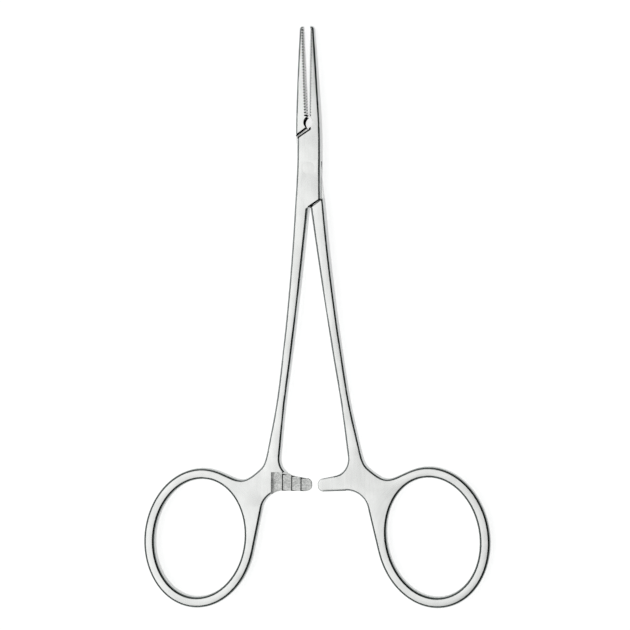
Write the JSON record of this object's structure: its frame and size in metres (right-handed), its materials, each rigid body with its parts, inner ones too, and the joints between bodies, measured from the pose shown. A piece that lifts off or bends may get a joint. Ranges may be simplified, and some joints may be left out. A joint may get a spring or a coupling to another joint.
{
  "type": "hemostat forceps",
  "caption": "Straight locking clamp forceps with serrated jaws, a pinned box lock, toothed ratchet arms and finger rings.",
  "frame": {"origin": "middle of the box round the forceps as it lies, on the surface it lies on", "axes": "+Y towards the jaw tips, +Z out of the side that shows the ratchet teeth, +X towards the ring of the tenon half"},
  "size_m": [0.0752, 0.1252, 0.004],
  "materials": {
    "satin_steel": "satin, with brighter rounded edges",
    "pin_steel": "satin, ground flush with the lock"
  },
  "bodies": {
    "box_body": {"box_half": "satin_steel", "lock_pin": "pin_steel"},
    "insert_body": {"insert_half": "satin_steel"}
  },
  "joints": [
    {"name": "lock_hinge", "type": "hinge", "parent": "box_body", "child": "insert_body", "pos_m": [0, 0.03199, 0.002], "axis": [0, 0, 1], "range_deg": [-2.7, 57]}
  ]
}
